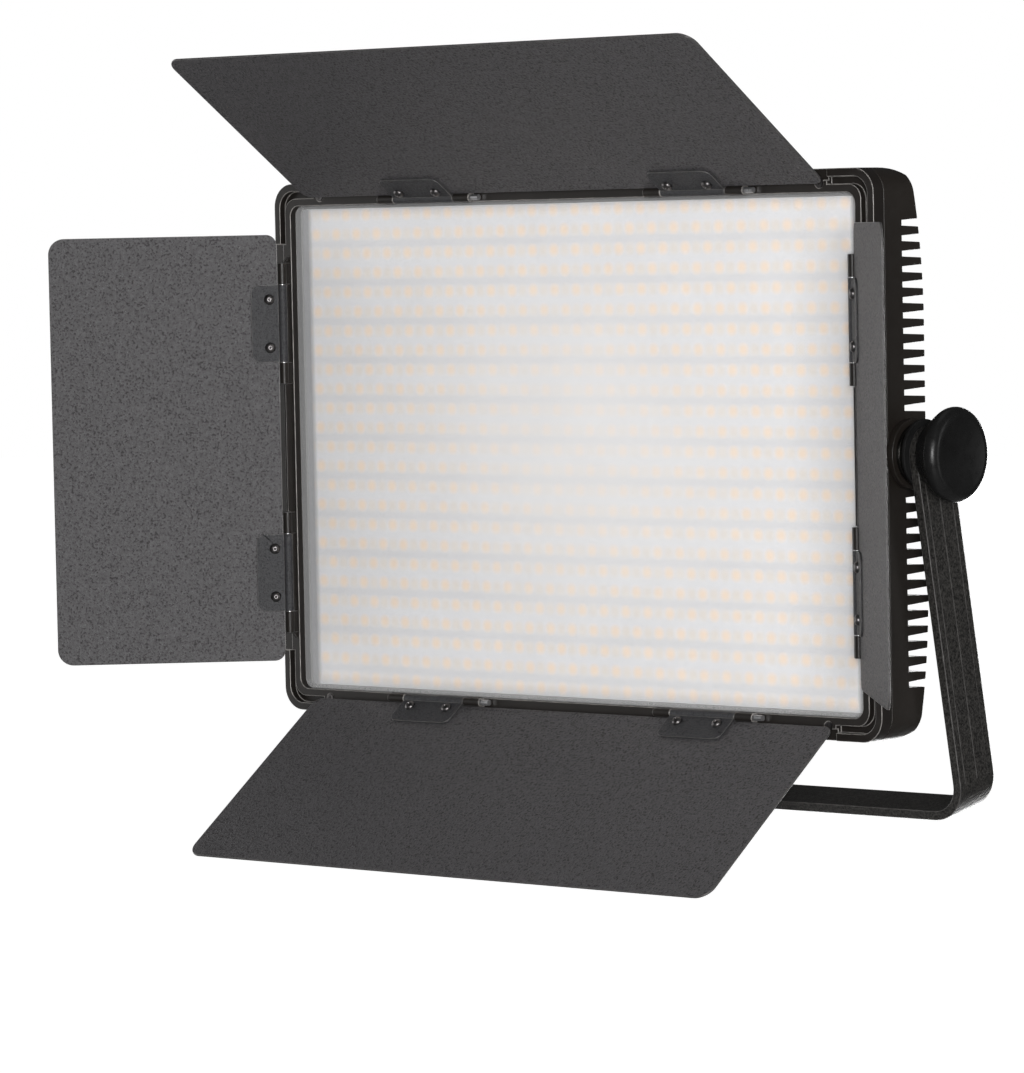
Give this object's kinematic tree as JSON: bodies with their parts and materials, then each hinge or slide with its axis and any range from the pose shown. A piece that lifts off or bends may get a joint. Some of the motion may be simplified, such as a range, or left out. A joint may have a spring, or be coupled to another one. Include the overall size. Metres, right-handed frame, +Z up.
{
  "type": "led panel light",
  "caption": "Flat LED panel light with a diffused window, finned rear housing, hinged barn doors, a U-shaped tilting yoke with side knobs, and a socket for a stand",
  "frame": {"origin": "centre of the open mouth of the stand socket, on the socket's axis", "axes": "+Z is up and out of the stand, the light faces -Y, +X is to the light's left"},
  "size_m": [0.599, 0.2357, 0.4588],
  "materials": {
    "bezel_coat": "gunmetal brown grey, satin paint",
    "housing_coat": "brown black, satin textured paint",
    "diffuser_sheet": "cool white, frosted",
    "black_rubber": "black, matte",
    "board_white": "off white, solder mask",
    "white_plastic": "white, matte",
    "led_emitters": "pale yellow, phosphor over clear lens",
    "screw_steel": "grey, zinc plated",
    "circuit_board": "green, solder mask",
    "panel_plastic": "black, fine grain",
    "display_glass": "near black, smooth",
    "bright_steel": "silver, polished",
    "control_plastic": "black, satin moulded",
    "switch_red": "dark red, moulded",
    "washer_coat": "dark grey, satin paint with bright edges",
    "yoke_coat": "black, fine textured powder coat",
    "knob_plastic": "black, satin gloss moulded",
    "door_coat": "dark grey with darker specks, hammered speckle",
    "bracket_coat": "dark grey, fine textured"
  },
  "bodies": {
    "stand_receiver": {"stand_socket": "housing_coat"},
    "lock_body": {"lock_screw": "screw_steel", "lock_handle": "control_plastic"},
    "yoke": {"yoke_bar": "yoke_coat", "tilt_head": "housing_coat", "base_bolt": "screw_steel"},
    "clamp_lever": {"tilt_bolt": "screw_steel", "tilt_lever": "control_plastic"},
    "panel": {"front_bezel": "bezel_coat", "hinge_rail_left": "bezel_coat", "hinge_rail_right": "bezel_coat", "diffuser": "diffuser_sheet", "diffuser_seal": "black_rubber", "led_board": "board_white", "board_frame": "white_plastic", "led_rows": "led_emitters", "bezel_screws": "screw_steel", "rear_housing": "housing_coat", "driver_board": "circuit_board", "control_panel": "panel_plastic", "panel_screws": "screw_steel", "display_window": "display_glass", "encoder_bodies": "bright_steel", "switch_frame": "control_plastic", "dc_socket": "control_plastic", "pivot_boss_left": "housing_coat", "pivot_boss_right": "housing_coat", "pivot_washers_left": "washer_coat", "pivot_washers_right": "washer_coat", "knob_pad_left": "black_rubber", "knob_pad_right": "black_rubber", "top_pins": "bright_steel", "bottom_pins": "bright_steel", "left_pins": "bright_steel", "right_pins": "bright_steel"},
    "knob_left": {"tilt_knob_left": "knob_plastic", "knob_stud_left": "bright_steel"},
    "knob_right": {"tilt_knob_right": "knob_plastic", "knob_stud_right": "bright_steel"},
    "top_leaf": {"top_door": "door_coat", "top_bracket_1": "bracket_coat", "top_bracket_2": "bracket_coat", "top_screws": "screw_steel"},
    "bottom_leaf": {"bottom_door": "door_coat", "bottom_bracket_1": "bracket_coat", "bottom_bracket_2": "bracket_coat", "bottom_screws": "screw_steel"},
    "left_leaf": {"left_door": "door_coat", "left_bracket_1": "bracket_coat", "left_bracket_2": "bracket_coat", "left_screws": "screw_steel"},
    "right_leaf": {"right_door": "door_coat", "right_bracket_1": "bracket_coat", "right_bracket_2": "bracket_coat", "right_screws": "screw_steel"},
    "dimmer": {"dimmer_dial": "control_plastic"},
    "colour": {"colour_dial": "control_plastic"},
    "up_key": {"button_up": "control_plastic"},
    "down_key": {"button_down": "control_plastic"},
    "power_rocker": {"rocker_switch": "switch_red"}
  },
  "joints": [
    {"name": "stand_lock", "type": "hinge", "parent": "stand_receiver", "child": "lock_body", "pos_m": [-0.022, 0, 0.011], "axis": [-1, 0, 0], "continuous": true},
    {"name": "yoke_tilt", "type": "hinge", "parent": "stand_receiver", "child": "yoke", "pos_m": [0, 0, 0.0365], "axis": [1, 0, 0], "range_deg": [-60, 30]},
    {"name": "tilt_clamp", "type": "hinge", "parent": "yoke", "child": "clamp_lever", "pos_m": [0, 0, 0.0365], "axis": [1, 0, 0], "range_deg": [-60, 15]},
    {"name": "panel_tilt", "type": "hinge", "parent": "yoke", "child": "panel", "pos_m": [0, -0.04636, 0.24388], "axis": [1, 0, 0], "range_deg": [-90, 12]},
    {"name": "left_knob_turn", "type": "hinge", "parent": "panel", "child": "knob_left", "pos_m": [-0.2323, -0.04636, 0.24388], "axis": [-1, 0, 0], "continuous": true},
    {"name": "right_knob_turn", "type": "hinge", "parent": "panel", "child": "knob_right", "pos_m": [0.2323, -0.04636, 0.24388], "axis": [1, 0, 0], "continuous": true},
    {"name": "top_door_hinge", "type": "hinge", "parent": "panel", "child": "top_leaf", "pos_m": [0, -0.07869, 0.38278], "axis": [-1, 0, 0], "range_deg": [-124.8, 40]},
    {"name": "bottom_door_hinge", "type": "hinge", "parent": "panel", "child": "bottom_leaf", "pos_m": [0, -0.0704, 0.10331], "axis": [1, 0, 0], "range_deg": [-126.1, 38]},
    {"name": "left_door_hinge", "type": "hinge", "parent": "panel", "child": "left_leaf", "pos_m": [-0.2048, -0.07794, 0.24294], "axis": [0, 0.0297, -0.9996], "range_deg": [-136, 29]},
    {"name": "right_door_hinge", "type": "hinge", "parent": "panel", "child": "right_leaf", "pos_m": [0.2048, -0.07794, 0.24294], "axis": [0, -0.0297, 0.9996], "range_deg": [-133.7, 31]},
    {"name": "dimmer_turn", "type": "hinge", "parent": "panel", "child": "dimmer", "pos_m": [-0.048, -0.0286, 0.26242], "axis": [0, 0.9996, 0.0297], "continuous": true},
    {"name": "colour_turn", "type": "hinge", "parent": "panel", "child": "colour", "pos_m": [-0.016, -0.0286, 0.26242], "axis": [0, 0.9996, 0.0297], "continuous": true},
    {"name": "up_press", "type": "slide", "parent": "panel", "child": "up_key", "axis": [0, -0.9996, -0.0297], "range_m": [0, 0.001], "stiffness_N_per_m": 300},
    {"name": "down_press", "type": "slide", "parent": "panel", "child": "down_key", "axis": [0, -0.9996, -0.0297], "range_m": [0, 0.001], "stiffness_N_per_m": 300},
    {"name": "power_press", "type": "hinge", "parent": "panel", "child": "power_rocker", "pos_m": [0.052, -0.02924, 0.20637], "axis": [1, 0, 0], "range_deg": [-8, 8]}
  ]
}
